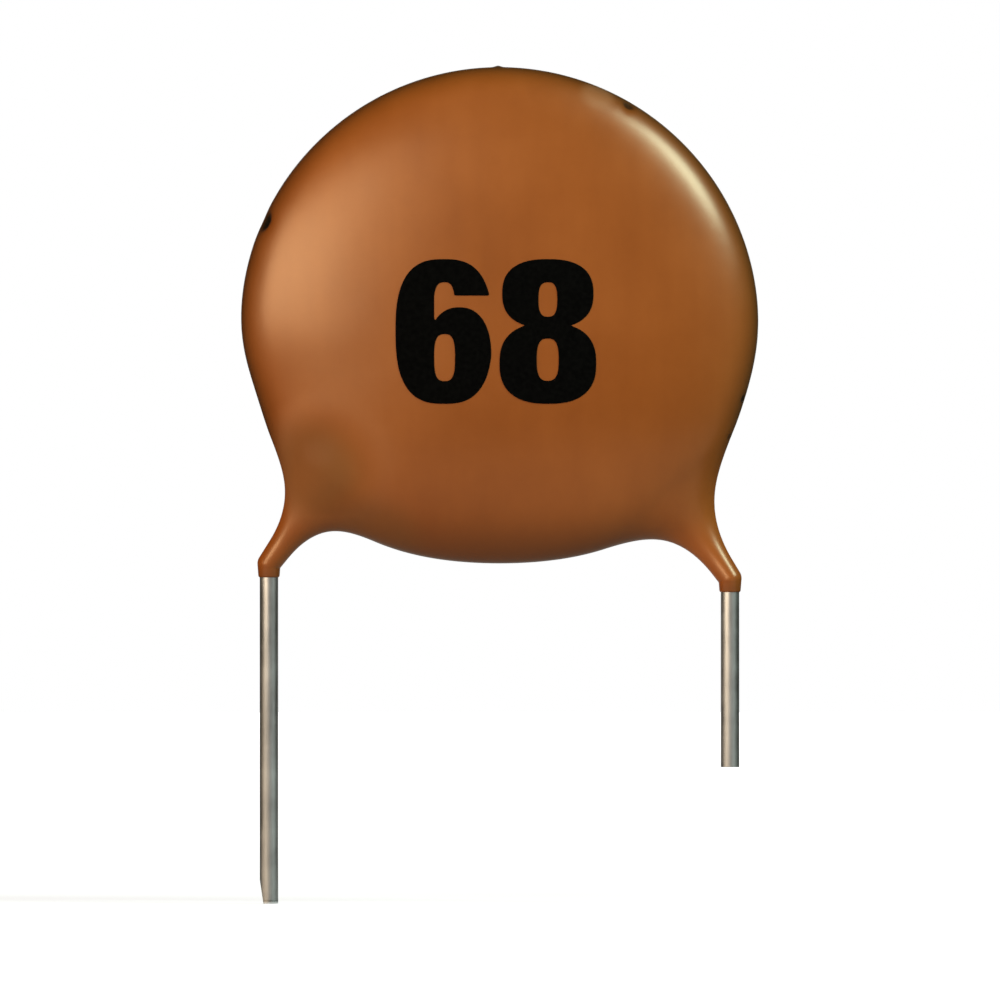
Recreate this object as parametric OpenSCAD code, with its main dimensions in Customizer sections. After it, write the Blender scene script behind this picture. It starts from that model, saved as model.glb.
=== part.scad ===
// Ceramic disc capacitor with two radial wire leads.
// A silvered ceramic disc has one tinned lead soldered to each face, and a dipped
// resin coat covers the disc and runs down both leads to a thin sleeve.
// Millimetres. +Z points up, the front face looks along -Y, and the origin lies on
// the board's surface, midway between the two leads.

/* [Ceramic disc] */
// Diameter of the ceramic disc
ceramic_d = 11.5; // [10.5:0.1:12.5]
// Thickness of the ceramic disc
ceramic_t = 1.2; // [0.8:0.1:1.8]
// Rounding of the ceramic disc's edges
ceramic_edge = 0.15; // [0.05:0.05:0.3]

/* [Electrodes] */
// Bare ceramic left around each electrode
electrode_margin = 0.6; // [0.3:0.1:1]
// Thickness of each fired silver electrode
electrode_t = 0.04; // [0.02:0.01:0.08]

/* [Leads] */
// Diameter of the tinned wire
lead_d = 0.5; // [0.4:0.05:0.6]
// Distance between the two lead axes at the board
lead_pitch = 12.5; // [11:0.5:13.5]
// Length of the left lead below the board's surface
left_lead_length = 8.5; // [3:0.1:30]
// Length of the right lead below the board's surface
right_lead_length = 4.8; // [3:0.1:30]
// Radius of each bend, at the wire's axis
bend_r = 0.8; // [0.5:0.1:1]
// How much thinner the drawn wire is round a bend, in radius
bend_thinning = 0.005; // [0.004:0.001:0.01]
// How far beside the disc's centre each lead ends
lead_aim = 1.6; // [1:0.1:2.5]
// Clearance between the disc's rim and the bend where a lead reaches its face
rim_clearance = 0.35; // [0.3:0.05:0.6]
// Length of the bevel that the cutter left on the left lead's tip
bevel_l = 0.65; // [0.2:0.05:1]
// Depth of that bevel at the tip
bevel_depth = 0.1; // [0.02:0.01:0.2]

/* [Solder] */
// Solder under each lead, between wire and electrode
solder_gap = 0.02; // [0.01:0.01:0.05]
// Solder over each lead
solder_cover = 0.08; // [0.04:0.01:0.15]
// Thickness of the solder at the fillet's outer edge
solder_lip = 0.04; // [0.02:0.01:0.08]
// Length of the soldered stretch, from the lead's inner end
solder_l = 4; // [2:0.1:4.5]

/* [Coat] */
// Height of the disc's centre above the board's surface
disc_z = 7.15; // [6.9:0.05:8]
// Coat around the ceramic disc's rim
rim_coat = 1.28; // [1:0.01:1.5]
// Coat over the lead on each face
face_coat = 0.6; // [0.4:0.05:1]
// Fullness of the coated disc's section, where 2 is an ellipse
crown = 2.4; // [2.2:0.1:3]
// How far the coat's underside is flattened below the disc
belly_flat = 0.6; // [0:0.05:0.65]
// How far the coat's outline is drawn in above the left leg
left_flank = 0.2; // [0:0.05:0.3]
// How far the coat's outline is drawn in above the right leg
right_flank = 0.1; // [0:0.05:0.3]
// Height of the left sleeve's end above the board's surface
left_coat_end = 0.4; // [0:0.05:0.6]
// Height of the right sleeve's end above the board's surface
right_coat_end = 0; // [0:0.05:0.6]
// Straight length of each sleeve, from its end to the knee
sleeve_l = 0.32; // [0.3:0.01:0.5]
// Coat around the lead at the sleeve's end
end_wall = 0.04; // [0.03:0.01:0.1]
// Coat around the lead at the knee
knee_wall = 0.12; // [0.08:0.01:0.2]
// Coat beside the lead at the leg's root
root_wall = 0.5; // [0.4:0.05:0.8]
// Coat over the lead at the leg's root, front and back
root_cover = 0.3; // [0.2:0.05:0.4]
// Length over which a leg still widens past the disc's rim
root_l = 2; // [0.5:0.1:2.5]
// Width of the web between the disc and the left leg
left_web = 1.6; // [0.8:0.1:2.2]
// Width of the web between the disc and the right leg
right_web = 2; // [0.8:0.1:2.2]

/* [Hidden] */
$fn = 64;

LEFT = -1;
RIGHT = 1;
FRONT = -1;
REAR = 1;

ceramic_r = ceramic_d / 2;
electrode_r = ceramic_r - electrode_margin;
electrode_face = ceramic_t / 2 + electrode_t;
lead_r = lead_d / 2;
// Overlap of straight and bend, short enough for the bend to stay inside the straight
lap = sqrt(bend_r * bend_thinning) / 2;
// Depth of a lead's axis from the disc's mid-plane
lead_y = electrode_face + solder_gap + lead_r;
coat_r = ceramic_r + rim_coat;
coat_half_t = lead_y + lead_r + face_coat;
// How closely the flattened underside keeps to the lowest point
belly_focus = 11;
// Where the flanks are drawn in most, as the sine of the angle below the centre, and over what band
flank_level = 0.31;
flank_band = 0.22;
// Share of a web's width that is left at the coat's faces
face_web = 0.15;

// The left lead lies on the front face and the right lead on the rear face
function lead_tip_z(side) = side == LEFT ? -left_lead_length : -right_lead_length;
function coat_end_z(side) = side == LEFT ? left_coat_end : right_coat_end;

// Corners of a lead's axis: tip, knee, landing beside the disc's rim, inner end
function unit(v) = v / norm(v);
function lead_x(side) = side * lead_pitch / 2;
function knee(side) = [lead_x(side), 0, coat_end_z(side) + sleeve_l];
function inner_end(side) = [side * lead_aim, side * lead_y, disc_z];
function splay(side) = unit([inner_end(side).x - knee(side).x, 0, disc_z - knee(side).z]);
// Distance along the splay from the inner end to the disc's rim
function to_rim(side) =
    let (along = inner_end(side).x * splay(side).x)
    along + sqrt(along * along + ceramic_r * ceramic_r - lead_aim * lead_aim);
function landing(side) = inner_end(side) - splay(side) * (to_rim(side) + rim_clearance);
function lead_corners(side) =
    [[lead_x(side), 0, lead_tip_z(side)], knee(side), landing(side), inner_end(side)];

// Stands a child, drawn along +Z, on point a so that it runs towards b
module along(a, b) {
    d = b - a;
    translate(a) rotate([0, acos(d.z / norm(d)), atan2(d.y, d.x)]) children();
}

function turn(p, q, r) = acos(unit(q - p) * unit(r - q));
// Wire that a bend takes from each of the two straights at corner q
function bend_take(p, q, r) = bend_r * tan(turn(p, q, r) / 2);

// Bent wire at corner q, between the straights that come from p and go to r
module wire_bend(p, q, r) {
    before = unit(q - p);
    after = unit(r - q);
    inward = unit(after - (after * before) * before);
    axis = cross(before, inward);
    centre = q - before * bend_take(p, q, r) + inward * bend_r;
    multmatrix([[-inward.x, before.x, axis.x, centre.x],
                [-inward.y, before.y, axis.y, centre.y],
                [-inward.z, before.z, axis.z, centre.z],
                [0, 0, 0, 1]])
        rotate_extrude(angle = turn(p, q, r))
        translate([bend_r, 0]) circle(lead_r - bend_thinning);
}

// Straight wire from a to b, shortened by what is taken at its two ends
module wire_straight(a, b, take_a, take_b) {
    along(a, b) translate([0, 0, take_a]) cylinder(r = lead_r, h = norm(b - a) - take_a - take_b);
}

module lead_wire(side) {
    c = lead_corners(side);
    // Each straight runs on a little into the thinner bend beside it
    knee_take = bend_take(c[0], c[1], c[2]) - lap;
    landing_take = bend_take(c[1], c[2], c[3]) - lap;
    wire_straight(c[0], c[1], 0, knee_take);
    wire_bend(c[0], c[1], c[2]);
    wire_straight(c[1], c[2], knee_take, landing_take);
    wire_bend(c[1], c[2], c[3]);
    wire_straight(c[2], c[3], landing_take, 0);
}

module left_lead() {
    color("silver")
    difference() {
        lead_wire(LEFT);
        // Bevel that the cutter left on the outer side of the tip
        translate([lead_x(LEFT) - lead_r + bevel_depth, 0, lead_tip_z(LEFT)])
            rotate([0, atan2(-bevel_depth, bevel_l), 0])
            translate([-lead_d, -lead_d, -bevel_l])
            cube([lead_d, 2 * lead_d, 3 * bevel_l]);
    }
}

module right_lead() {
    color("silver") lead_wire(RIGHT);
}

// Turns a child, drawn around +Z at the origin, to face the front or rear from the disc's centre
module on_disc(face) {
    translate([0, 0, disc_z]) rotate([face == FRONT ? 90 : -90, 0, 0]) children();
}

module ceramic_disc() {
    half = ceramic_t / 2;
    color("wheat")
    on_disc(FRONT)
    rotate_extrude() {
        translate([0, -half]) square([ceramic_r - ceramic_edge, ceramic_t]);
        translate([0, ceramic_edge - half]) square([ceramic_r, ceramic_t - 2 * ceramic_edge]);
        for (s = [-1, 1])
            translate([ceramic_r - ceramic_edge, s * (half - ceramic_edge)]) circle(ceramic_edge);
    }
}

module electrode(face) {
    color("gainsboro")
    on_disc(face) translate([0, 0, ceramic_t / 2]) cylinder(r = electrode_r, h = electrode_t);
}

// Section of the solder across a lead: a bead round the wire on two hollow fillets.
// X runs across the lead, and Y away from the electrode.
module solder_section() {
    bead_r = lead_r + solder_cover;
    axis_h = solder_gap + lead_r;
    foot = bead_r + axis_h - solder_lip;
    fillet_r = axis_h - solder_lip;
    translate([0, axis_h]) circle(bead_r);
    difference() {
        translate([-foot, 0]) square([2 * foot, axis_h]);
        for (s = [-1, 1])
            translate([s * foot, axis_h]) circle(fillet_r);
    }
}

module half_section() {
    intersection() {
        solder_section();
        square(2 * coat_half_t);
    }
}

// Solder along the last stretch of a lead, round at both ends
module solder(side) {
    top = inner_end(side);
    face = side == LEFT ? FRONT : REAR;
    foot_y = side * electrode_face;
    lean = atan2(splay(side).z, splay(side).x);
    color("lightsteelblue")
    difference() {
        intersection() {
            translate([top.x, foot_y, top.z])
                rotate([0, -lean, 0])
                rotate([face == FRONT ? 90 : -90, 0, 0]) {
                    rotate_extrude() half_section();
                    translate([-solder_l, 0, 0]) rotate_extrude() half_section();
                    rotate([90, 0, -90]) linear_extrude(solder_l) solder_section();
                }
            // The bead rests on the electrode and does not reach into it
            translate([-coat_r, side < 0 ? foot_y - coat_half_t : foot_y, 0])
                cube([2 * coat_r, coat_half_t, 2 * disc_z]);
        }
        lead_wire(side);
    }
}

// The coat's outer form is the zero level of a distance field: a flattened pillow round
// the disc, joined by soft fillets to a tapering leg round each lead.

function smooth_min(a, b, k) =
    let (h = max(k - abs(a - b), 0) / k)
    min(a, b) - h * h * k / 4;

function pillow(p) =
    let (dz = p.z - disc_z,
         rho = norm([p.x, dz]),
         rise = dz / rho,
         belly = belly_flat * pow((1 - rise) / 2, belly_focus),
         flank = (p.x < 0 ? left_flank : right_flank) * pow(p.x / rho, 2)
             * exp(-pow((rise + flank_level) / flank_band, 2)),
         radius = coat_r - belly - flank,
         a = rho / radius,
         b = abs(p.y) / coat_half_t,
         f = pow(pow(a, crown) + pow(b, crown), 1 / crown),
         slope = norm([pow(a / f, crown - 1) / radius, pow(b / f, crown - 1) / coat_half_t]))
    (f - 1) / slope;

// Distance to a stretch of leg from a to b. Each size is [half width in the disc's plane, half depth].
function stretch(p, a, b, size_a, size_b) =
    let (d = b - a,
         t = min(max((p - a) * d / (d * d), 0), 1),
         q = p - a - t * d,
         size = size_a + t * (size_b - size_a))
    norm([q.x, q.y * size[0] / size[1], q.z]) - size[0];

end_size = [lead_r + end_wall, lead_r + end_wall];
knee_size = [lead_r + knee_wall, lead_r + knee_wall];
root_size = [lead_r + root_wall, lead_r + root_cover];

function leg_end(side) = [lead_x(side), 0, coat_end_z(side)];
function leg_root(side) = landing(side) + splay(side) * (rim_clearance + root_l);

function leg(p, side) =
    let (k = knee(side),
         l = landing(side),
         r = leg_root(side),
         share = norm(l - k) / (norm(l - k) + norm(r - l)),
         landing_size = knee_size + share * (root_size - knee_size))
    min(stretch(p, leg_end(side), k, end_size, knee_size),
        stretch(p, k, l, knee_size, landing_size),
        stretch(p, l, r, landing_size, root_size));

// The webs are full at the disc's mid-plane and narrow towards its faces
function coat(p) =
    let (share = max(1 - pow(p.y / coat_half_t, 2), face_web))
    smooth_min(smooth_min(pillow(p), leg(p, LEFT), share * left_web),
               leg(p, RIGHT), share * right_web);

// Distance from point p along direction d to the coat's surface, by halving the interval
function reach(p, d, near, far, halvings) =
    let (middle = (near + far) / 2)
    halvings == 0 ? middle
    : coat(p + middle * d) < 0 ? reach(p, d, middle, far, halvings - 1)
    : reach(p, d, near, middle, halvings - 1);

// The surface is cast in rings from a spine that runs up the left leg, round a small hub at
// the disc's centre and down the right leg. A station on the spine holds its point, the
// directions in which its ring looks outward and inward, and the ring's flatness.
hub_r = 0.6;
fan_steps = 22;
ring_points = 36;
halvings = 20;
// Share of its turn to straight down that a ring's inner half has made at the landing,
// and where it is almost done, with the share of the way from landing to hub there
landing_turn = 0.67;
late_turn = 0.9;
late_share = 0.3;
// Half the angle over which the rings' inner halves fan out below the hub
low_fan = 6;

function lean(side) = atan2(splay(side).z, abs(splay(side).x));
function mirrored(s) = [-s[0], s[1], s[2], 180 - s[3], 180 - s[4], s[5]];

// Stations of one leg, from its end to the hub, drawn on the left side
function leg_knots(side) =
    let (a = lean(side),
         out = 90 + a,
         in = a - 90,
         k = knee(side),
         l = landing(side),
         hub = [side * hub_r * sin(a), 0, disc_z + hub_r * cos(a)],
         flat = coat_r / coat_half_t,
         knots = [[k.x, k.y, coat_end_z(side), 180, 0, 1],
                  [k.x, k.y, k.z - sleeve_l / 2, 180, 0, 1],
                  concat(k + splay(side) * sleeve_l, [out, in, 1]),
                  concat((k + l) / 2, [out, in, 1]),
                  concat(l, [out, in - landing_turn * a, flat / 2]),
                  concat(l + late_share * (hub - l), [out, in - late_turn * a, flat]),
                  concat(hub, [out, -90 - low_fan, flat])])
    [for (s = knots) [-abs(s[0]), s[1], s[2], s[3], s[4], s[5]]];

leg_steps = [1, 5, 3, 6, 6, 10];

function between(knots, steps) =
    [for (i = [0:len(steps) - 1]) for (j = [0:steps[i] - 1])
        knots[i] + j / steps[i] * (knots[i + 1] - knots[i])];

function hub_fan(from, to) =
    [for (j = [0:fan_steps])
        let (a = from + j / fan_steps * (to - from),
             low = -90 + low_fan * (2 * j / fan_steps - 1))
        [hub_r * cos(a), 0, disc_z + hub_r * sin(a), a, low, coat_r / coat_half_t]];

function reversed(list) = [for (i = [len(list) - 1:-1:0]) list[i]];

function spine() = concat(
    between(leg_knots(LEFT), leg_steps),
    hub_fan(90 + lean(LEFT), 90 - lean(RIGHT)),
    [for (s = reversed(between(leg_knots(RIGHT), leg_steps))) mirrored(s)]);

function ring(s) =
    [for (i = [0:ring_points - 1])
        let (a = 360 * i / ring_points,
             look = cos(a) >= 0 ? s[3] : s[4],
             wide = abs(cos(a)) * s[5],
             d = unit([wide * cos(look), -sin(a), wide * sin(look)]),
             p = [s[0], s[1], s[2]])
        p + reach(p, d, 0, coat_r, halvings) * d];

// Closes the skin over neighbouring rings, with each four-sided patch split along its shorter diagonal
module coat_form() {
    rings = [for (s = spine()) ring(s)];
    points = [for (r = rings) each r];
    n = ring_points;
    last = len(rings) - 1;
    sides = [for (i = [0:last - 1]) for (j = [0:n - 1])
        let (a = i * n + j,
             b = i * n + (j + 1) % n,
             c = b + n,
             d = a + n)
        each norm(points[a] - points[c]) < norm(points[b] - points[d])
            ? [[a, b, c], [a, c, d]]
            : [[a, b, d], [b, c, d]]];
    caps = [[for (j = [n - 1:-1:0]) j], [for (j = [0:n - 1]) last * n + j]];
    polyhedron(points = points, faces = concat(sides, caps));
}

module coating() {
    color("sienna")
    difference() {
        coat_form();
        ceramic_disc();
        electrode(FRONT);
        electrode(REAR);
        solder(LEFT);
        solder(RIGHT);
        lead_wire(LEFT);
        lead_wire(RIGHT);
    }
}

coating();
ceramic_disc();
electrode(FRONT);  // front_electrode
electrode(REAR);  // rear_electrode
solder(LEFT);  // front_solder
solder(RIGHT);  // rear_solder
left_lead();
right_lead();
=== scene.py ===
"""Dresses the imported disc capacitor: its coat, printed value and tinned leads, in a white studio."""

import math

import bmesh
import bpy
import numpy as np
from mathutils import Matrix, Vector


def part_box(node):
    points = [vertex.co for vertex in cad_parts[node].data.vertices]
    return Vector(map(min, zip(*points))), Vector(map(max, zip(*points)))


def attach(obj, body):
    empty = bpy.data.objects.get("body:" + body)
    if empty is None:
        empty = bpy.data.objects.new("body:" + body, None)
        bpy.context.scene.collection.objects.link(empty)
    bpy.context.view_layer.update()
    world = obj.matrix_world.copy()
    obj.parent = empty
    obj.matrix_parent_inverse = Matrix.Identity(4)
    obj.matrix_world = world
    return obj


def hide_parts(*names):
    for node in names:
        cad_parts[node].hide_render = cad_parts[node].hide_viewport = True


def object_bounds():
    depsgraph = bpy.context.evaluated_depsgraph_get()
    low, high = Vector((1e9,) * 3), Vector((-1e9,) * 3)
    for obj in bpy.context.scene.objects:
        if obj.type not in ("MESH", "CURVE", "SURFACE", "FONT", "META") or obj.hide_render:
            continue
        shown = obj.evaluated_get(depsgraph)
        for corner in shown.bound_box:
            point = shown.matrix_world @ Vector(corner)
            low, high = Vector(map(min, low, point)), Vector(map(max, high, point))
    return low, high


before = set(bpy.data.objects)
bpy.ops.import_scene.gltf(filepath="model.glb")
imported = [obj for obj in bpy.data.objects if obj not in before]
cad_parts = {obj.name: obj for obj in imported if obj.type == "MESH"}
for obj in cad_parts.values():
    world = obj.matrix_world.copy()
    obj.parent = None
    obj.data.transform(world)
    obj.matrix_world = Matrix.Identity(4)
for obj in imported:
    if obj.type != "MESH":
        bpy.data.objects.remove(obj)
cad_low, cad_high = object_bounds()

# Lengths are in millimetres up to the meshes, which are in metres
MM = 0.001
LEFT = -1
RIGHT = 1


def vec(*xyz):
    return np.array(xyz, float)


def unit(v):
    return v / np.linalg.norm(v)


# The coat's form: the solid's, with slimmer knees and softer roots of the legs
disc_low, disc_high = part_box("ceramic_disc")
CERAMIC_R = (disc_high.x - disc_low.x) / 2 / MM
DISC_Z = (disc_high.z + disc_low.z) / 2 / MM
COAT_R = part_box("coating")[1].z / MM - DISC_Z
COAT_HALF_T = 1.76
LEAD_PITCH = 12.5
LEAD_R = 0.25
LEAD_Y = 0.91
LEAD_AIM = 1.6
RIM_CLEARANCE = 0.35
CROWN = 2.4
BELLY_FLAT = 0.6
BELLY_FOCUS = 11
FLANK = {LEFT: 0.2, RIGHT: 0.1}
FLANK_LEVEL = 0.31
FLANK_BAND = 0.22
COAT_END = {LEFT: 0.4, RIGHT: 0.0}
SLEEVE_L = 0.32
END_WALL = 0.04
KNEE_WALL = 0.065
KNEE_COVER = 0.115
ROOT_WALL = 0.4
ROOT_COVER = 0.1
ROOT_L = 2.0
LANDING_SINK = 0.70
ROOT_SINK = 0.2
WEB = {LEFT: 1.6, RIGHT: 2.0}
FACE_WEB = 0.75

# Small faults of the coat's edge: place, depth (negative for a lump), radius and how far its colour is
# darkened
RIM_FAULTS = [
    (vec(-6.35, -0.30, 9.98), 0.18, 0.24, 1.0),
    (vec(3.46, -0.35, 13.05), 0.14, 0.16, 0.7),
    (vec(6.60, -0.28, 5.18), 0.06, 0.11, 0.9),
    (vec(6.23, -0.28, 4.15), 0.05, 0.09, 0.6),
    (vec(-0.04, 0.0, 14.16), -0.04, 0.10, 0.0),
]
# A pale scuff beside the nick at the upper right: place and radius
SCUFF = (vec(2.65, -0.55, 13.38), 0.42)
# A dull patch over the left leg's root: place and radius
DULL = (vec(-4.75, -1.3, 3.3), 1.5)
# Painted shade as brown spots, at the left leg's root and under the arch beside it: place, radius and
# strength
SHADE_SPOTS = [
    (vec(-5.15, -1.1, 3.25), 1.2, 0.6),
    (vec(-3.3, -0.4, 1.5), 1.1, 0.45),
]

# The photograph's frame: a pixel's size at the part, and the pixel of the part's origin
IMAGE_PX = 1000
PITCH_PX = 461
PX = LEAD_PITCH / PITCH_PX
ORIGIN_PX = (499.5, 590.0)
CAMERA_DISTANCE = 500.0
CAMERA_REACH = 10000.0
SENSOR = 36.0


class Leg:
    """The path of one lead inside its leg of coat."""

    def __init__(self, side):
        self.side = side
        self.end = vec(side * LEAD_PITCH / 2, 0, COAT_END[side])
        self.knee = self.end + vec(0, 0, SLEEVE_L)
        self.inner = vec(side * LEAD_AIM, side * LEAD_Y, DISC_Z)
        self.splay = unit((self.inner - self.knee) * vec(1, 0, 1))
        along = self.inner[0] * self.splay[0]
        to_rim = along + math.sqrt(along ** 2 + CERAMIC_R ** 2 - LEAD_AIM ** 2)
        self.landing = self.inner - self.splay * (to_rim + RIM_CLEARANCE)
        self.root = self.landing + self.splay * (RIM_CLEARANCE + ROOT_L)
        self.landing[1] *= LANDING_SINK
        self.root[1] *= ROOT_SINK
        self.lean = math.degrees(math.atan2(self.splay[2], abs(self.splay[0])))


LEGS = {side: Leg(side) for side in (LEFT, RIGHT)}


# The coat's surface is the zero level of a field over points of shape (..., 3)
SLOPE_STEP = 0.01
TINY = 1e-9
HALVINGS = 32
RAY_MARGIN = 1.2


def smooth_min(a, b, k):
    """The smaller of two fields, rounded over where they differ by less than k."""
    h = np.maximum(k - np.abs(a - b), 0) / k
    return np.minimum(a, b) - h * h * k / 4


def pillow(p):
    """About the distance from the disc's crowned body, with its flat belly and drawn-in flanks."""
    dz = p[..., 2] - DISC_Z
    rho = np.hypot(p[..., 0], dz) + TINY
    rise = dz / rho
    belly = BELLY_FLAT * ((1 - rise) / 2) ** BELLY_FOCUS
    drawn_in = np.where(p[..., 0] < 0, FLANK[LEFT], FLANK[RIGHT]) * (p[..., 0] / rho) ** 2
    flank = drawn_in * np.exp(-(((rise + FLANK_LEVEL) / FLANK_BAND) ** 2))
    radius = COAT_R - belly - flank
    a = rho / radius
    b = np.abs(p[..., 1]) / COAT_HALF_T
    f = (a ** CROWN + b ** CROWN) ** (1 / CROWN)
    slope = np.hypot((a / f) ** (CROWN - 1) / radius, (b / f) ** (CROWN - 1) / COAT_HALF_T)
    return (f - 1) / slope


def stretch(p, a, b, size_a, size_b):
    """About the distance from a limb between a and b, whose sizes are half its width and depth."""
    d = b - a
    t = np.clip((p - a) @ d / (d @ d), 0, 1)[..., None]
    q = p - a - t * d
    size = size_a + t * (size_b - size_a)
    depth = q[..., 1] * size[..., 0] / size[..., 1]
    return np.sqrt(q[..., 0] ** 2 + depth ** 2 + q[..., 2] ** 2) - size[..., 0]


def leg_field(p, leg):
    end_size = vec(LEAD_R + END_WALL, LEAD_R + END_WALL)
    knee_size = vec(LEAD_R + KNEE_WALL, LEAD_R + KNEE_COVER)
    root_size = vec(LEAD_R + ROOT_WALL, LEAD_R + ROOT_COVER)
    lower = np.linalg.norm(leg.landing - leg.knee)
    upper = np.linalg.norm(leg.root - leg.landing)
    landing_size = knee_size + lower / (lower + upper) * (root_size - knee_size)
    sleeve = stretch(p, leg.end, leg.knee, end_size, knee_size)
    shin = stretch(p, leg.knee, leg.landing, knee_size, landing_size)
    root = stretch(p, leg.landing, leg.root, landing_size, root_size)
    return np.minimum(np.minimum(sleeve, shin), root)


def coat_field(p):
    """The body joined to its legs by webs, which are thinner towards the faces."""
    share = np.maximum(1 - (p[..., 1] / COAT_HALF_T) ** 2, FACE_WEB)
    body = pillow(p)
    for side, leg in LEGS.items():
        body = smooth_min(body, leg_field(p, leg), share * WEB[side])
    return body


def coat_normal(p):
    steps = SLOPE_STEP * np.eye(3)
    n = np.stack([coat_field(p + step) - coat_field(p - step) for step in steps], axis=-1)
    return n / np.linalg.norm(n, axis=-1, keepdims=True)


def cast(p, d, far):
    """Points where rays from p along d leave the coat, found by halving."""
    near = np.zeros(p.shape[:-1])
    far = np.full(p.shape[:-1], far)
    for _ in range(HALVINGS):
        middle = (near + far) / 2
        inside = coat_field(p + middle[..., None] * d) < 0
        near = np.where(inside, middle, near)
        far = np.where(inside, far, middle)
    return p + far[..., None] * d


# The coat is cast in rings from a spine: up the left leg, round a hub, down the right leg
HUB_R = 0.6
FAN_STEPS = 420
LEG_STEPS = [3, 16, 10, 20, 20, 36]
RING_POINTS = 112
LIP_RINGS = 5
LIP = 0.06
LIP_BORE = 0.95
LANDING_TURN = 0.67
LATE_TURN = 0.9
LATE_SHARE = 0.3
LOW_FAN = 6


def leg_stations(leg):
    """Rows of point, outward angle, inward angle and flatness, from the leg's end to the hub."""
    a = math.radians(leg.lean)
    out = 90 + leg.lean
    inward = leg.lean - 90
    hub = vec(leg.side * HUB_R * math.sin(a), 0, DISC_Z + HUB_R * math.cos(a))
    flat = COAT_R / COAT_HALF_T
    late = leg.landing + LATE_SHARE * (hub - leg.landing)
    knots = np.array([
        [*leg.end, 180, 0, 1],
        [*(leg.knee - vec(0, 0, SLEEVE_L / 2)), 180, 0, 1],
        [*(leg.knee + leg.splay * SLEEVE_L), out, inward, 1],
        [*((leg.knee + leg.landing) / 2), out, inward, 1],
        [*leg.landing, out, inward - LANDING_TURN * leg.lean, flat / 2],
        [*late, out, inward - LATE_TURN * leg.lean, flat],
        [*hub, out, -90 - LOW_FAN, flat],
    ])
    rows = [
        knots[i] + j / steps * (knots[i + 1] - knots[i])
        for i, steps in enumerate(LEG_STEPS)
        for j in range(steps)
    ]
    rows = np.array(rows)
    if leg.side == RIGHT:
        rows[:, 3:5] = 180 - rows[:, 3:5]
        rows = rows[::-1]
    return rows


def hub_stations():
    share = np.linspace(0, 1, FAN_STEPS + 1)
    start = 90 + LEGS[LEFT].lean
    end = 90 - LEGS[RIGHT].lean
    out = start + share * (end - start)
    a = np.radians(out)
    low = -90 + LOW_FAN * (2 * share - 1)
    flat = np.full_like(share, COAT_R / COAT_HALF_T)
    return np.stack([HUB_R * np.cos(a), 0 * a, DISC_Z + HUB_R * np.sin(a), out, low, flat], axis=1)


def coat_rings():
    stations = np.concatenate([leg_stations(LEGS[LEFT]), hub_stations(), leg_stations(LEGS[RIGHT])])
    turn = np.linspace(0, 2 * np.pi, RING_POINTS, endpoint=False)
    look = np.radians(np.where(np.cos(turn) >= -TINY, stations[:, 3:4], stations[:, 4:5]))
    wide = np.abs(np.cos(turn)) * stations[:, 5:6]
    depth = np.broadcast_to(-np.sin(turn), wide.shape)
    d = np.stack([wide * np.cos(look), depth, wide * np.sin(look)], axis=-1)
    d /= np.linalg.norm(d, axis=-1, keepdims=True)
    p = np.broadcast_to(stations[:, None, :3], d.shape)
    return cast(p, d, COAT_R * RAY_MARGIN)


def with_faults(points):
    """Presses each fault of the skin in along the surface's normal."""
    normal = coat_normal(points)
    push = np.zeros(points.shape[:-1])
    for place, depth, radius, _ in RIM_FAULTS:
        away = np.linalg.norm(points - place, axis=-1)
        push += depth * np.exp(-((away / radius) ** 2))
    return points - push[..., None] * normal


def lip_rings(ring, leg):
    """Rings of the thin rounded edge with which a sleeve ends on its wire, from the tip up to ring."""
    rings = []
    inner = leg.end + (ring - leg.end) * (LIP_BORE * LEAD_R / (LEAD_R + END_WALL))
    for angle in np.linspace(90, 0, LIP_RINGS, endpoint=False):
        a = math.radians(angle)
        r = inner + (ring - inner) * math.cos(a)
        r[:, 2] = leg.end[2] - LIP * math.sin(a)
        rings.append(r)
    return np.array(rings)


def new_mesh(name, verts, faces, material):
    mesh = bpy.data.meshes.new(name)
    mesh.from_pydata([tuple(v) for v in np.asarray(verts) * MM], [], faces)
    bm = bmesh.new()
    bm.from_mesh(mesh)
    bmesh.ops.recalc_face_normals(bm, faces=bm.faces)
    bm.to_mesh(mesh)
    bm.free()
    mesh.shade_smooth()
    mesh.materials.append(material)
    piece = bpy.data.objects.new(name, mesh)
    bpy.context.scene.collection.objects.link(piece)
    return piece


def skin_faces(rows, columns):
    """Quads between neighbouring rings and one face that closes each end."""
    quads = []
    for start in range(0, (rows - 1) * columns, columns):
        for j in range(columns):
            here = start + j
            beside = start + (j + 1) % columns
            quads.append((here, beside, beside + columns, here + columns))
    last = (rows - 1) * columns
    return quads + [tuple(range(columns)), tuple(range(last, last + columns))]


def make_coat(material):
    rings = with_faults(coat_rings())
    left_lip = lip_rings(rings[0], LEGS[LEFT])
    right_lip = lip_rings(rings[-1], LEGS[RIGHT])[::-1]
    rings = np.concatenate([left_lip, rings, right_lip])
    coat = new_mesh("dipped_coat", rings.reshape(-1, 3), skin_faces(len(rings), RING_POINTS), material)
    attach(coat, "root")
    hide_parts("coating")


# The printed value: each figure is put together from rounded forms, in shares of its height,
# with the origin at the figure's lower left corner
FIGURE_H = 3.91
FIGURE_LOW_Z = 5.04
SIX_X = -2.81
EIGHT_X = 0.0
FIGURE_SPAN_X = (-0.02, 0.72)
FIGURE_SPAN_Z = (-0.02, 1.03)
PRINT_STEP = 0.04
PRINT_RISE = 0.012
PRINT_DEPTH = 0.02


def rounded(x, z, cx, cz, half_w, half_h, fullness):
    """About the distance from a superellipse with its middle at cx, cz, negative inside."""
    a = np.abs((x - cx) / half_w)
    b = np.abs((z - cz) / half_h)
    f = (a ** fullness + b ** fullness) ** (1 / fullness)
    return (f - 1) * min(half_w, half_h)


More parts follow.
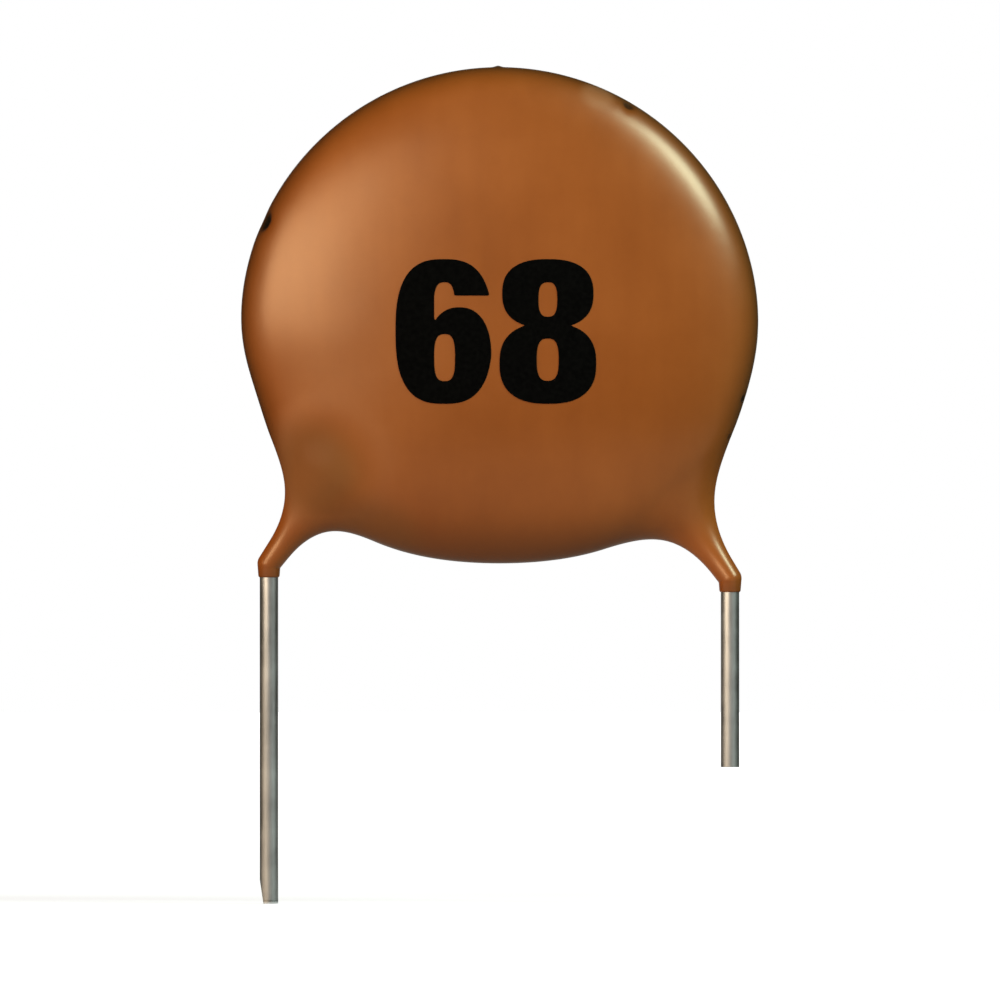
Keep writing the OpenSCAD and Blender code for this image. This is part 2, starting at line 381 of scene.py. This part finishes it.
def six(x, z):
    body = rounded(x, z, 0.334, 0.500, 0.334, 0.500, 2.7)
    upper_gap = rounded(x, z, 0.337, 0.695, 0.070, 0.145, 2.8)
    opening = np.maximum(np.maximum(0.267 - x, z - 0.748), 0.335 - z)
    hook = np.maximum(np.maximum(body, -upper_gap), -opening)
    bowl = np.maximum(rounded(x, z, 0.440, 0.333, 0.2215, 0.334, 2.3), 0.333 - z)
    counter = rounded(x, z, 0.339, 0.319, 0.072, 0.162, 3.0)
    return np.maximum(np.minimum(hook, bowl), -counter)


def eight(x, z):
    upper = rounded(x, z, 0.334, 0.762, 0.315, 0.238, 2.5)
    lower = rounded(x, z, 0.334, 0.279, 0.334, 0.279, 2.5)
    upper_counter = rounded(x, z, 0.334, 0.721, 0.065, 0.119, 2.8)
    lower_counter = rounded(x, z, 0.333, 0.305, 0.076, 0.146, 2.8)
    return np.maximum(np.minimum(upper, lower), -np.minimum(upper_counter, lower_counter))


def filled_cells(values):
    """Polygons that cover the negative side of a grid of values, cut at the zero level.

    Each corner is a pair: a grid node twice, or the two ends of an edge that the zero level crosses.
    """
    polygons = []
    for i, j in np.ndindex(values.shape[0] - 1, values.shape[1] - 1):
        corners = [(i, j), (i + 1, j), (i + 1, j + 1), (i, j + 1)]
        polygon = []
        for here, there in zip(corners, corners[1:] + corners[:1]):
            if values[here] < 0:
                polygon.append((here, here))
            if (values[here] < 0) != (values[there] < 0):
                polygon.append((min(here, there), max(here, there)))
        if polygon:
            polygons.append(polygon)
    return polygons


def make_figure(name, form, left_x, material):
    """One printed figure, a thin film of ink that follows the coat's front."""
    x = np.arange(*FIGURE_SPAN_X, PRINT_STEP / FIGURE_H)
    z = np.arange(*FIGURE_SPAN_Z, PRINT_STEP / FIGURE_H)
    values = form(*np.meshgrid(x, z, indexing="ij"))
    corners = {}
    plan = []
    faces = []
    for polygon in filled_cells(values):
        for here, there in polygon:
            if (here, there) in corners:
                continue
            share = 0 if here == there else values[here] / (values[here] - values[there])
            corners[here, there] = len(plan)
            plan.append((
                left_x + FIGURE_H * (x[here[0]] + share * (x[there[0]] - x[here[0]])),
                0,
                FIGURE_LOW_Z + FIGURE_H * (z[here[1]] + share * (z[there[1]] - z[here[1]])),
            ))
        faces.append(tuple(corners[corner] for corner in polygon))
    plan = np.array(plan)
    forward = np.broadcast_to(vec(0, -1, 0), plan.shape)
    front = cast(plan, forward, COAT_HALF_T * RAY_MARGIN)
    verts = np.concatenate([front - vec(0, PRINT_RISE, 0), front + vec(0, PRINT_DEPTH, 0)])
    count = len(plan)
    sides = {(a, b) for face in faces for a, b in zip(face, face[1:] + face[:1])}
    walls = [(b, a, a + count, b + count) for a, b in sides if (b, a) not in sides]
    back = [tuple(corner + count for corner in reversed(face)) for face in faces]
    figure = new_mesh(name, verts, faces + back + walls, material)
    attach(figure, "root")


# Materials
# Where the painted shade on the disc's edge lies: its band across the faces, and the heights over which
# it fades in above the legs
RIM_SHADE_BAND = (0.05, 1.0)
RIM_SHADE_LOW = (2.4, 5.0)
# Where the painted shade on the lower edge lies, and how strong it is
LOW_SHADE_X = (3.4, 4.8)
LOW_SHADE_Z = (0.8, 2.4)
LOW_SHADE_SHARE = 0.8
SCUFF_SHARE = 0.3
SLEEVE_SHARE = 0.6
RIM_SHADE_BROWN = (0.085, 0.031, 0.005, 1)
LOW_SHADE_BROWN = (0.165, 0.040, 0.004, 1)
SHADE_SPOT_BROWN = (0.165, 0.060, 0.011, 1)
SLEEVE_BROWN = (0.130, 0.034, 0.008, 1)
SCUFF_TAN = (0.50, 0.24, 0.11, 1)
PIT_BLACK = (0.006, 0.004, 0.002, 1)
DULL_ROUGHNESS = (0.85, 0.85, 0.85, 1)
# The middle half of a noise's values, and where a spot's fall starts and ends, in radii
NOISE_MIDDLE = (0.25, 0.75)
SPOT_FALL = (0.6, 1.5)


class Look:
    """A material, its main shader and short ways to add nodes to it."""

    def __init__(self, name, **settings):
        self.material = bpy.data.materials.new(name)
        self.material.use_nodes = True
        self.tree = self.material.node_tree
        self.shader = self.tree.nodes["Principled BSDF"]
        for socket, value in settings.items():
            self.shader.inputs[socket.replace("_", " ")].default_value = value
        self.place = self.node("TexCoord").outputs["Object"]

    def node(self, kind, **links):
        """A new node, with each named input set to a value or joined to an output."""
        node = self.tree.nodes.new("ShaderNode" + kind)
        for socket, value in links.items():
            self.feed(node.inputs[socket.replace("_", " ")], value)
        return node

    def feed(self, socket, value):
        if isinstance(value, bpy.types.NodeSocket):
            self.tree.links.new(value, socket)
        else:
            socket.default_value = value

    def noise(self, per_mm, detail=2.0, rough=0.5):
        """A noise with so many swells a millimetre along each axis."""
        scaled = self.node("Mapping", Vector=self.place, Scale=tuple(n / MM for n in per_mm))
        noise = self.node("TexNoise", Vector=scaled.outputs[0], Scale=1.0, Detail=detail, Roughness=rough)
        return noise.outputs[0]

    def along(self, axis):
        """The place's X, Y or Z."""
        return self.node("SeparateXYZ", Vector=self.place).outputs[axis]

    def tones(self, value, stops):
        """A colour ramp of (place, linear colour) stops."""
        ramp = self.node("ValToRGB", Fac=value)
        elements = ramp.color_ramp.elements
        while len(elements) < len(stops):
            elements.new(0.5)
        for element, (place, colour) in zip(elements, stops):
            element.position = place
            element.color = (*colour, 1)
        return ramp.outputs[0]

    def spread(self, value, low, high):
        """The middle half of a noise, spread from low to high."""
        start, end = NOISE_MIDDLE
        node = self.node("MapRange", Value=value, From_Min=start, From_Max=end, To_Min=low, To_Max=high)
        return node.outputs[0]

    def fade(self, value, start, end, strength=1.0):
        """The strength up to start, falling smoothly to 0 at end, both in millimetres."""
        node = self.node("MapRange", Value=value, From_Min=start * MM, From_Max=end * MM)
        node.interpolation_type = "SMOOTHSTEP"
        node.inputs["To Min"].default_value = strength
        node.inputs["To Max"].default_value = 0.0
        return node.outputs[0]

    def beside(self, axis, start, end):
        """1 within start of the middle along an axis, falling to 0 at end on either side."""
        away = self.node("Math")
        away.operation = "ABSOLUTE"
        self.feed(away.inputs[0], self.along(axis))
        return self.fade(away.outputs[0], start, end)

    def times(self, a, b):
        product = self.node("Math")
        product.operation = "MULTIPLY"
        self.feed(product.inputs[0], a)
        self.feed(product.inputs[1], b)
        return product.outputs[0]

    def spot(self, place, radius, strength):
        """A spot of that strength in the middle, falling smoothly to 0 a little past its radius."""
        away = self.node("VectorMath", Vector=self.place)
        away.operation = "DISTANCE"
        self.feed(away.inputs[1], place * MM)
        start, end = SPOT_FALL
        return self.fade(away.outputs["Value"], start * radius, end * radius, strength)

    def blend(self, share, a, b):
        mix = self.node("MixRGB", Fac=share)
        self.feed(mix.inputs["Color1"], a)
        self.feed(mix.inputs["Color2"], b)
        return mix.outputs[0]

    def dress(self, colour, roughness, height, depth):
        """Joins colour, roughness and a bump of so many millimetres to the shader."""
        bump = self.node("Bump", Height=height, Distance=depth * MM, Strength=1.0)
        self.feed(self.shader.inputs["Base Color"], colour)
        self.feed(self.shader.inputs["Roughness"], roughness)
        self.feed(self.shader.inputs["Normal"], bump.outputs[0])
        return self.material


def even(n):
    return (n, n, n)


def painted_rim_shade(look):
    """1 on the disc's edge, which is painted darker there as shade, and 0 on the faces and the legs."""
    legs_end, body_start = RIM_SHADE_LOW
    body = look.fade(look.along("Z"), body_start, legs_end)
    return look.times(look.beside("Y", *RIM_SHADE_BAND), body)


def painted_low_shade(look):
    """Strongest on the coat's lower edge between the legs: painted shade on the underside, which faces
    away from the lamps.
    """
    low = look.fade(look.along("Z"), *LOW_SHADE_Z, LOW_SHADE_SHARE)
    return look.times(look.beside("X", *LOW_SHADE_X), low)


def coat_look():
    look = Look(
        "dipped_resin",
        IOR=1.8,
        Specular_Tint=(1, 0.80, 0.56, 1),
        Coat_Weight=0.04,
        Coat_Roughness=0.18,
    )
    clouds = look.noise(even(0.3), 3.0)
    grain = look.noise(even(5.0), 3.0, 0.6)
    runs = look.noise((1.6, 1.6, 0.25), 2.0)
    tone = look.blend(0.12, clouds, grain)
    resin = look.tones(look.blend(0.25, tone, runs), [
        (0.30, (0.285, 0.068, 0.006)),
        (0.50, (0.330, 0.083, 0.009)),
        (0.70, (0.375, 0.100, 0.013)),
    ])
    # Painted shade: the disc's edge darkened to a deep brown
    colour = look.blend(painted_rim_shade(look), resin, RIM_SHADE_BROWN)
    colour = look.blend(look.spot(*SCUFF, SCUFF_SHARE), colour, SCUFF_TAN)
    # Painted shade: the lower edge between the legs darkened
    colour = look.blend(painted_low_shade(look), colour, LOW_SHADE_BROWN)
    # Painted shade spots at the left leg's root and under the arch beside it
    for shade_spot in SHADE_SPOTS:
        colour = look.blend(look.spot(*shade_spot), colour, SHADE_SPOT_BROWN)
    for leg in LEGS.values():
        colour = look.blend(look.spot(leg.end, SLEEVE_L, SLEEVE_SHARE), colour, SLEEVE_BROWN)
    for place, _, radius, dark in RIM_FAULTS:
        colour = look.blend(look.spot(place, radius, dark), colour, PIT_BLACK)
    roughness = look.blend(look.spot(*DULL, 1.0), look.spread(clouds, 0.30, 0.37), DULL_ROUGHNESS)
    peel = look.noise(even(0.9), 2.0)
    return look.dress(colour, roughness, peel, 0.006)


def ink_look():
    look = Look("black_ink", Specular_IOR_Level=0.02)
    grain = look.noise(even(9.0), 2.0)
    colour = look.tones(grain, [(0.3, even(0.001)), (0.7, even(0.003))])
    return look.dress(colour, look.spread(grain, 0.7, 0.85), grain, 0.002)


def lead_look():
    look = Look("tinned_wire", Metallic=1.0)
    scratches = look.noise((9.0, 9.0, 0.7), 3.0, 0.6)
    dull = look.noise(even(1.1), 3.0, 0.6)
    colour = look.tones(look.blend(0.5, scratches, dull), [
        (0.30, (0.42, 0.42, 0.41)),
        (0.52, (0.57, 0.57, 0.56)),
        (0.72, (0.68, 0.69, 0.68)),
    ])
    return look.dress(colour, look.spread(dull, 0.36, 0.48), scratches, 0.003)


def solder_look():
    look = Look("tin_solder", Metallic=1.0)
    grain = look.noise(even(3.5), 3.0)
    colour = look.tones(grain, [(0.3, (0.50, 0.51, 0.53)), (0.7, (0.72, 0.73, 0.75))])
    return look.dress(colour, look.spread(grain, 0.2, 0.36), grain, 0.01)


def silver_look():
    look = Look("fired_silver", Metallic=1.0)
    grain = look.noise(even(8.0), 3.0)
    colour = look.tones(grain, [(0.3, (0.66, 0.65, 0.62)), (0.7, (0.86, 0.85, 0.82))])
    return look.dress(colour, look.spread(grain, 0.45, 0.65), grain, 0.005)


def ceramic_look():
    look = Look("fired_ceramic")
    grain = look.noise(even(6.0), 4.0, 0.65)
    colour = look.tones(grain, [(0.3, (0.60, 0.48, 0.32)), (0.7, (0.78, 0.66, 0.48))])
    return look.dress(colour, look.spread(grain, 0.6, 0.8), grain, 0.008)


NODE_LOOKS = {
    "coating": coat_look(),
    "left_lead": lead_look(),
    "ceramic_disc": ceramic_look(),
    "front_electrode": silver_look(),
    "front_solder": solder_look(),
}
NODE_LOOKS["right_lead"] = NODE_LOOKS["left_lead"]
NODE_LOOKS["rear_electrode"] = NODE_LOOKS["front_electrode"]
NODE_LOOKS["rear_solder"] = NODE_LOOKS["front_solder"]
for node, material in NODE_LOOKS.items():
    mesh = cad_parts[node].data
    mesh.materials.clear()
    mesh.materials.append(material)

make_coat(NODE_LOOKS["coating"])
INK = ink_look()
make_figure("printed_six", six, SIX_X, INK)
make_figure("printed_eight", eight, EIGHT_X, INK)


# Studio
FLOOR_HALF = 450.0
FLOOR_GAP = 0.01
FLOOR_GLOW = (0.70, 1.0)
SHADOW_REACH = 90.0
FILL = 0.08
TUNNEL_HALF = 200.0
TUNNEL_Y = (-110.0, 700.0)
GREY = 0.32
DARK_GREY = 0.18
FRONT_CARD_X = (-75.0, 800.0)
FRONT_CARD_Y = -420.0
FRONT_CARD_HALF_H = 280.0
ROOF_HALF = 500.0
ROOF_RISE = 260.0
LEAD_CARD_R = 16.0
LEAD_CARD_TOP = 0.8
LEAD_CARD_POINTS = 12
TABLE_CARD_HALF = 430.0
TABLE_CARD_GAP = 0.05
STUDIO_WHITE = (1, 0.97, 0.93, 1)
CORNERS = [(-1, -1), (1, -1), (1, 1), (-1, 1)]
ONE_FACE = [(0, 1, 2, 3)]
DISC_CENTRE = Vector((0, 0, DISC_Z * MM))
# Name, azimuth, elevation, distance, width, height, watts, colour, and whether gloss shows the lamp
LAMPS = [
    ("key", -44, 9, 600, 560, 320, 3.0, (1, 0.75, 0.49), True),
    ("front", -8, 50, 600, 400, 300, 0.57, (1, 0.97, 0.92), False),
    ("strip", 64, 39, 180, 50, 86, 0.25, (0.74, 1, 0.90), True),
    ("back", 165, 15, 600, 400, 300, 1.5, (1, 0.97, 0.92), False),
]


def level_square(half, z):
    return [(sx * half, sy * half, z) for sx, sy in CORNERS]


def shown_rays(tree):
    """1 for rays that show the backdrop: from the camera, and through glossy or clear surfaces."""
    path = tree.nodes.new("ShaderNodeLightPath")
    shown = path.outputs["Is Camera Ray"]
    for kind in ("Is Glossy Ray", "Is Transmission Ray"):
        either = tree.nodes.new("ShaderNodeMath")
        either.operation = "MAXIMUM"
        tree.links.new(shown, either.inputs[0])
        tree.links.new(path.outputs[kind], either.inputs[1])
        shown = either.outputs[0]
    return shown


def make_world():
    world = bpy.data.worlds.new("white_studio")
    world.use_nodes = True
    tree = world.node_tree
    fill = tree.nodes["Background"]
    fill.inputs["Color"].default_value = STUDIO_WHITE
    fill.inputs["Strength"].default_value = FILL
    white = tree.nodes.new("ShaderNodeBackground")
    white.inputs["Color"].default_value = (1, 1, 1, 1)
    mix = tree.nodes.new("ShaderNodeMixShader")
    tree.links.new(shown_rays(tree), mix.inputs[0])
    tree.links.new(fill.outputs[0], mix.inputs[1])
    tree.links.new(white.outputs[0], mix.inputs[2])
    tree.links.new(mix.outputs[0], tree.nodes["World Output"].inputs["Surface"])
    bpy.context.scene.world = world


def make_floor():
    """A pale floor, which the camera sees as white except for the part's shadow."""
    look = Look("white_floor", Roughness=0.9)
    tree = look.tree
    paper = look.tones(look.noise(even(0.05), 3.0), [(0.3, even(0.38)), (0.7, even(0.42))])
    look.feed(look.shader.inputs["Base Color"], paper)
    glow = look.node("Emission", Color=(1, 1, 1, 1))
    away = look.node("VectorMath", Vector=look.place)
    away.operation = "LENGTH"
    near, far = FLOOR_GLOW
    level = look.node("MapRange", Value=away.outputs["Value"], To_Min=near, To_Max=far)
    level.inputs["From Max"].default_value = SHADOW_REACH * MM
    look.feed(glow.inputs["Strength"], look.times(shown_rays(tree), level.outputs[0]))
    both = look.node("AddShader")
    look.feed(both.inputs[0], look.shader.outputs[0])
    look.feed(both.inputs[1], glow.outputs[0])
    look.feed(tree.nodes["Material Output"].inputs["Surface"], both.outputs[0])
    low = cad_low.z / MM - FLOOR_GAP
    new_mesh("floor", level_square(FLOOR_HALF, low), ONE_FACE, look.material)


def make_card(name, verts, faces, glow):
    """A studio card or flag, which only the part's gloss shows."""
    look = Look(name, Roughness=0.9, Emission_Color=STUDIO_WHITE, Emission_Strength=glow)
    felt = look.tones(look.noise(even(0.2), 2.0), [(0.3, even(0.02)), (0.7, even(0.03))])
    look.feed(look.shader.inputs["Base Color"], felt)
    card = new_mesh(name, verts, faces, look.material)
    card.visible_camera = False
    card.visible_diffuse = False
    card.visible_transmission = False
    card.visible_shadow = False


def make_lead_card(name, start, end, glow):
    """A low curved card round the leads, between two azimuths in degrees."""
    turn = np.radians(np.linspace(start, end, LEAD_CARD_POINTS))
    heights = (cad_low.z / MM, LEAD_CARD_TOP)
    verts = [(LEAD_CARD_R * math.sin(a), -LEAD_CARD_R * math.cos(a), z) for a in turn for z in heights]
    faces = [(i, i + 2, i + 3, i + 1) for i in range(0, len(verts) - 2, 2)]
    make_card(name, verts, faces, glow)


def make_cards():
    """A dark tunnel round the part, cards before, over and under it, and low ones round its leads."""
    tunnel = [(sx * TUNNEL_HALF, y, DISC_Z + sz * TUNNEL_HALF) for y in TUNNEL_Y for sx, sz in CORNERS]
    walls = [(i, (i + 1) % 4, (i + 1) % 4 + 4, i + 4) for i in range(4)]
    make_card("dark_tunnel", tunnel, walls, 0.0)
    left, right = FRONT_CARD_X
    low = DISC_Z - FRONT_CARD_HALF_H
    high = DISC_Z + FRONT_CARD_HALF_H
    front = [(left, low), (right, low), (right, high), (left, high)]
    make_card("front_card", [(x, FRONT_CARD_Y, z) for x, z in front], ONE_FACE, DARK_GREY)
    roof = [(-ROOF_HALF, FRONT_CARD_Y), (ROOF_HALF, FRONT_CARD_Y), (ROOF_HALF, 0), (-ROOF_HALF, 0)]
    make_card("roof_card", [(x, y, DISC_Z + ROOF_RISE) for x, y in roof], ONE_FACE, 0.0)
    table = cad_low.z / MM + TABLE_CARD_GAP
    make_card("table_card", level_square(TABLE_CARD_HALF, table), ONE_FACE, 0.0)
    make_card("lead_card_under", level_square(LEAD_CARD_R, table + TABLE_CARD_GAP), ONE_FACE, DARK_GREY)
    make_lead_card("lead_card_front", -75, 75, GREY)
    make_lead_card("lead_card_right", 75, 150, 0.0)
    make_lead_card("lead_card_back", 150, 210, GREY)
    make_lead_card("lead_card_left", 210, 285, 0.0)


def around(azimuth, elevation, distance):
    """A point round the disc: azimuth from the front, to the right, and elevation, in degrees."""
    a = math.radians(azimuth)
    e = math.radians(elevation)
    way = Vector((math.sin(a) * math.cos(e), -math.cos(a) * math.cos(e), math.sin(e)))
    return DISC_CENTRE + way * distance * MM


def make_lamp(name, azimuth, elevation, distance, width, height, power, colour, in_gloss):
    lamp = bpy.data.lights.new(name, "AREA")
    lamp.shape = "RECTANGLE"
    lamp.size = width * MM
    lamp.size_y = height * MM
    lamp.energy = power
    lamp.color = colour
    stand = bpy.data.objects.new(name, lamp)
    stand.location = around(azimuth, elevation, distance)
    stand.rotation_euler = (DISC_CENTRE - stand.location).to_track_quat("-Z", "Y").to_euler()
    stand.visible_camera = False
    stand.visible_glossy = in_gloss
    bpy.context.scene.collection.objects.link(stand)


def make_camera():
    camera = bpy.data.objects.new("camera", bpy.data.cameras.new("camera"))
    middle_x = (IMAGE_PX / 2 - ORIGIN_PX[0]) * PX
    middle_z = (ORIGIN_PX[1] - IMAGE_PX / 2) * PX
    camera.location = Vector((middle_x, -CAMERA_DISTANCE, middle_z)) * MM
    camera.rotation_euler = (math.radians(90), 0, 0)
    camera.data.sensor_width = SENSOR
    camera.data.lens = SENSOR * CAMERA_DISTANCE / (IMAGE_PX * PX)
    camera.data.clip_end = CAMERA_REACH * MM
    bpy.context.scene.collection.objects.link(camera)
    bpy.context.scene.camera = camera


make_world()
make_floor()
make_cards()
for lamp_settings in LAMPS:
    make_lamp(*lamp_settings)
make_camera()
bpy.context.scene.view_settings.view_transform = "Standard"
